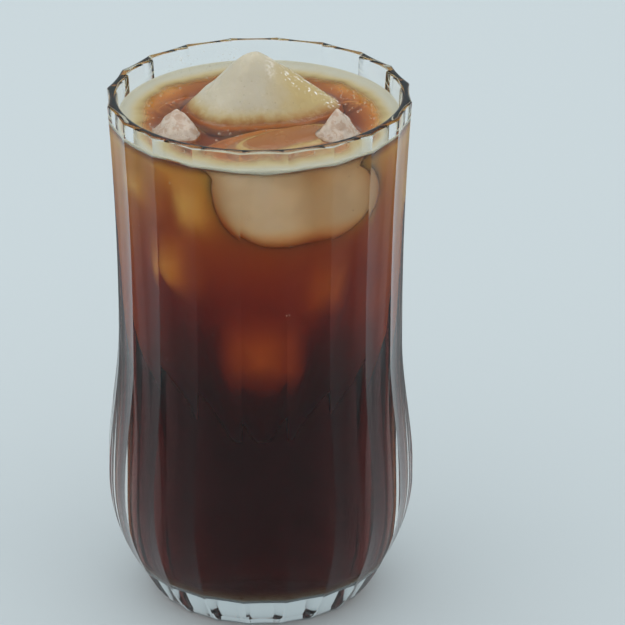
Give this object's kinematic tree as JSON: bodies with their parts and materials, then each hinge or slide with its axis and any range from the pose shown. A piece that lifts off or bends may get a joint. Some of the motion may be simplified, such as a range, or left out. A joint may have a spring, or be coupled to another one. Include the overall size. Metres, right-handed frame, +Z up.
{
  "type": "iced americano in a glass tumbler",
  "caption": "Tall iced black coffee in a waisted, fluted glass tumbler, with ice rising above the drink and a ring of froth along the wall.",
  "frame": {"origin": "middle of the underside of the glass's foot", "axes": "+Z up along the glass's axis; -Y is the front, the side that the two small pieces of ice and the flat one lie towards"},
  "size_m": [0.073, 0.073, 0.1342],
  "materials": {
    "glass": "clear polished glass with moulded flutes",
    "coffee": "clear dark coffee, reddish brown where light passes",
    "froth": "thin pale froth of fine bubbles",
    "ice_cloudy": "wet, smoothly melted, cloudy ice tinted by the coffee",
    "ice_clear": "wet, cracked, clear ice"
  },
  "bodies": {
    "root": {"glass": "glass", "coffee": "coffee", "foam_ring": "froth", "ice_large": "ice_cloudy", "ice_front": "ice_cloudy", "ice_left": "ice_clear", "ice_right": "ice_clear"}
  },
  "joints": []
}
